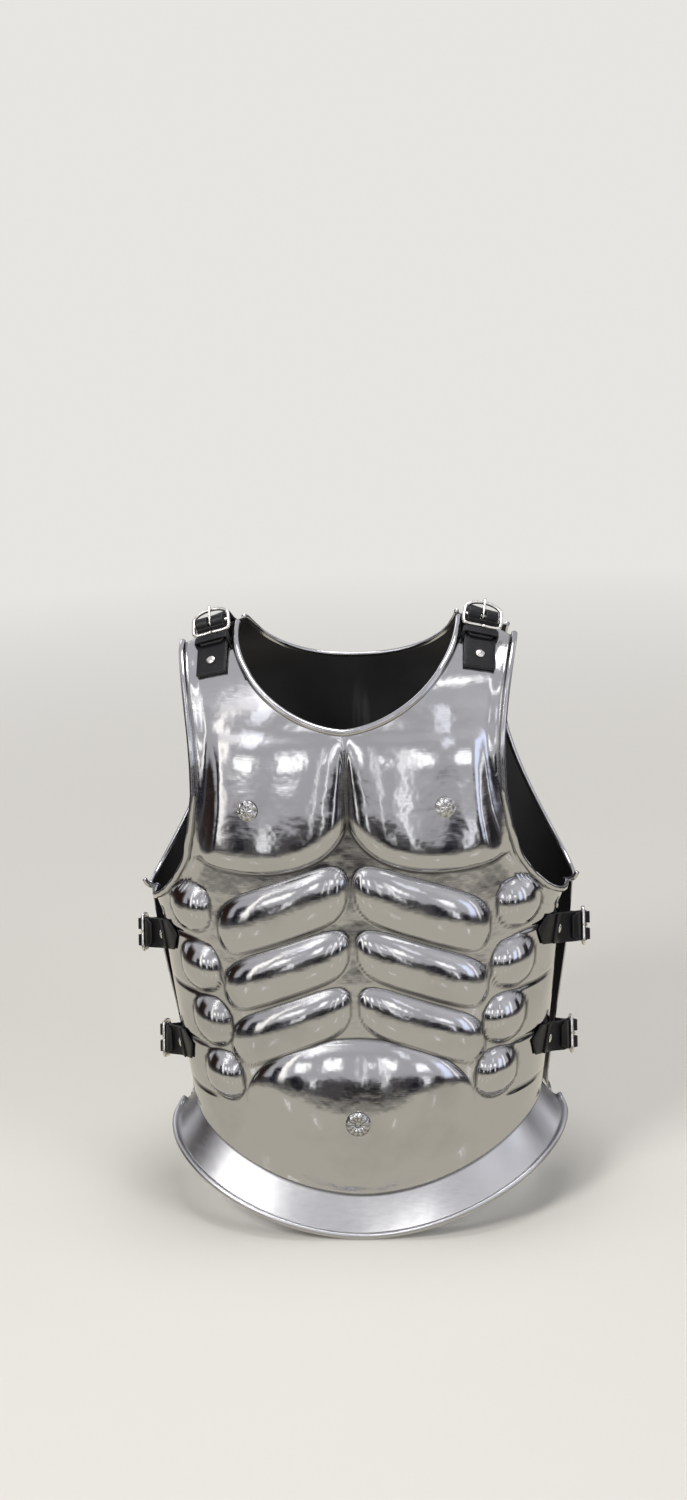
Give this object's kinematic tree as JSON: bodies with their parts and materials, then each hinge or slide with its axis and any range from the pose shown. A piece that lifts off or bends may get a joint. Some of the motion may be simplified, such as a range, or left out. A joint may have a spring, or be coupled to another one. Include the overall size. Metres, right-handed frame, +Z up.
{
  "type": "muscle cuirass",
  "caption": "Polished steel muscle cuirass: embossed breastplate with a flared belly flange, plain backplate, and black leather straps with wire buckles at shoulders and sides.",
  "frame": {"origin": "on the shoulder line, midway between the shoulders, where a wearer or a bar carries the cuirass", "axes": "+Z up; the wearer faces -Y; +X is the wearer's left"},
  "size_m": [0.4712, 0.2782, 0.628],
  "materials": {
    "polished_steel": "mirror polished outside, black inside",
    "back_steel": "polished outside, black inside",
    "stud_steel": "polished",
    "nickel": "nickel plated",
    "black_leather": "smooth black"
  },
  "bodies": {
    "back": {"backplate": "back_steel", "shoulder_strap_left": "black_leather", "shoulder_strap_rivet_left": "nickel", "shoulder_strap_right": "black_leather", "shoulder_strap_rivet_right": "nickel", "side_strap_upper_left": "black_leather", "side_strap_rivet_upper_left": "nickel", "side_strap_upper_right": "black_leather", "side_strap_rivet_upper_right": "nickel", "side_strap_lower_left": "black_leather", "side_strap_rivet_lower_left": "nickel", "side_strap_lower_right": "black_leather", "side_strap_rivet_lower_right": "nickel"},
    "breast": {"breastplate": "polished_steel", "belly_flange": "polished_steel", "navel_rivet": "stud_steel", "nipple_stud_left": "stud_steel", "nipple_stud_right": "stud_steel", "shoulder_chape_left": "black_leather", "shoulder_chape_rivet_left": "nickel", "shoulder_keeper_left": "black_leather", "shoulder_chape_right": "black_leather", "shoulder_chape_rivet_right": "nickel", "shoulder_keeper_right": "black_leather", "side_chape_upper_left": "black_leather", "side_chape_rivet_upper_left": "nickel", "side_chape_upper_right": "black_leather", "side_chape_rivet_upper_right": "nickel", "side_chape_lower_left": "black_leather", "side_chape_rivet_lower_left": "nickel", "side_chape_lower_right": "black_leather", "side_chape_rivet_lower_right": "nickel"},
    "buckle_shoulder_left": {"shoulder_buckle_left": "nickel"},
    "prong_shoulder_left": {"shoulder_prong_left": "nickel"},
    "buckle_shoulder_right": {"shoulder_buckle_right": "nickel"},
    "prong_shoulder_right": {"shoulder_prong_right": "nickel"},
    "buckle_side_upper_left": {"side_buckle_upper_left": "nickel"},
    "prong_side_upper_left": {"side_prong_upper_left": "nickel"},
    "buckle_side_upper_right": {"side_buckle_upper_right": "nickel"},
    "prong_side_upper_right": {"side_prong_upper_right": "nickel"},
    "buckle_side_lower_left": {"side_buckle_lower_left": "nickel"},
    "prong_side_lower_left": {"side_prong_lower_left": "nickel"},
    "buckle_side_lower_right": {"side_buckle_lower_right": "nickel"},
    "prong_side_lower_right": {"side_prong_lower_right": "nickel"}
  },
  "joints": [
    {"name": "front_opens", "type": "hinge", "parent": "back", "child": "breast", "pos_m": [0, 0.022, 0.026], "axis": [-1, 0, 0], "range_deg": [0, 60], "deforming": ["shoulder_strap_left", "shoulder_strap_right", "side_strap_upper_left", "side_strap_upper_right", "side_strap_lower_left", "side_strap_lower_right"]},
    {"name": "buckle_tilts_shoulder_left", "type": "hinge", "parent": "breast", "child": "buckle_shoulder_left", "pos_m": [0.13507, -0.01241, 0.02894], "axis": [-0.9605, -0.0994, 0.2598], "range_deg": [0, 15], "deforming": ["shoulder_strap_left"]},
    {"name": "prong_lifts_shoulder_left", "type": "hinge", "parent": "buckle_shoulder_left", "child": "prong_shoulder_left", "pos_m": [0.13507, -0.01241, 0.02894], "axis": [0.9605, 0.0994, -0.2598], "range_deg": [0, 60], "deforming": ["shoulder_strap_left"]},
    {"name": "buckle_tilts_shoulder_right", "type": "hinge", "parent": "breast", "child": "buckle_shoulder_right", "pos_m": [-0.13507, -0.01241, 0.02894], "axis": [-0.9605, 0.0994, -0.2598], "range_deg": [0, 15], "deforming": ["shoulder_strap_right"]},
    {"name": "prong_lifts_shoulder_right", "type": "hinge", "parent": "buckle_shoulder_right", "child": "prong_shoulder_right", "pos_m": [-0.13507, -0.01241, 0.02894], "axis": [0.9605, -0.0994, 0.2598], "range_deg": [0, 60], "deforming": ["shoulder_strap_right"]},
    {"name": "buckle_tilts_side_upper_left", "type": "hinge", "parent": "breast", "child": "buckle_side_upper_left", "pos_m": [0.22854, 0.01557, -0.30819], "axis": [0, 0.3134, 0.9496], "range_deg": [0, 15], "deforming": ["side_strap_upper_left"]},
    {"name": "prong_lifts_side_upper_left", "type": "hinge", "parent": "buckle_side_upper_left", "child": "prong_side_upper_left", "pos_m": [0.22854, 0.01557, -0.30819], "axis": [0, -0.3134, -0.9496], "range_deg": [0, 60], "deforming": ["side_strap_upper_left"]},
    {"name": "buckle_tilts_side_upper_right", "type": "hinge", "parent": "breast", "child": "buckle_side_upper_right", "pos_m": [-0.22854, 0.01557, -0.30819], "axis": [0, -0.3134, -0.9496], "range_deg": [0, 15], "deforming": ["side_strap_upper_right"]},
    {"name": "prong_lifts_side_upper_right", "type": "hinge", "parent": "buckle_side_upper_right", "child": "prong_side_upper_right", "pos_m": [-0.22854, 0.01557, -0.30819], "axis": [0, 0.3134, 0.9496], "range_deg": [0, 60], "deforming": ["side_strap_upper_right"]},
    {"name": "buckle_tilts_side_lower_left", "type": "hinge", "parent": "breast", "child": "buckle_side_lower_left", "pos_m": [0.21374, 0.01722, -0.42918], "axis": [0, 0.3134, 0.9496], "range_deg": [0, 15], "deforming": ["side_strap_lower_left"]},
    {"name": "prong_lifts_side_lower_left", "type": "hinge", "parent": "buckle_side_lower_left", "child": "prong_side_lower_left", "pos_m": [0.21374, 0.01722, -0.42918], "axis": [0, -0.3134, -0.9496], "range_deg": [0, 60], "deforming": ["side_strap_lower_left"]},
    {"name": "buckle_tilts_side_lower_right", "type": "hinge", "parent": "breast", "child": "buckle_side_lower_right", "pos_m": [-0.21374, 0.01722, -0.42918], "axis": [0, -0.3134, -0.9496], "range_deg": [0, 15], "deforming": ["side_strap_lower_right"]},
    {"name": "prong_lifts_side_lower_right", "type": "hinge", "parent": "buckle_side_lower_right", "child": "prong_side_lower_right", "pos_m": [-0.21374, 0.01722, -0.42918], "axis": [0, 0.3134, 0.9496], "range_deg": [0, 60], "deforming": ["side_strap_lower_right"]}
  ]
}
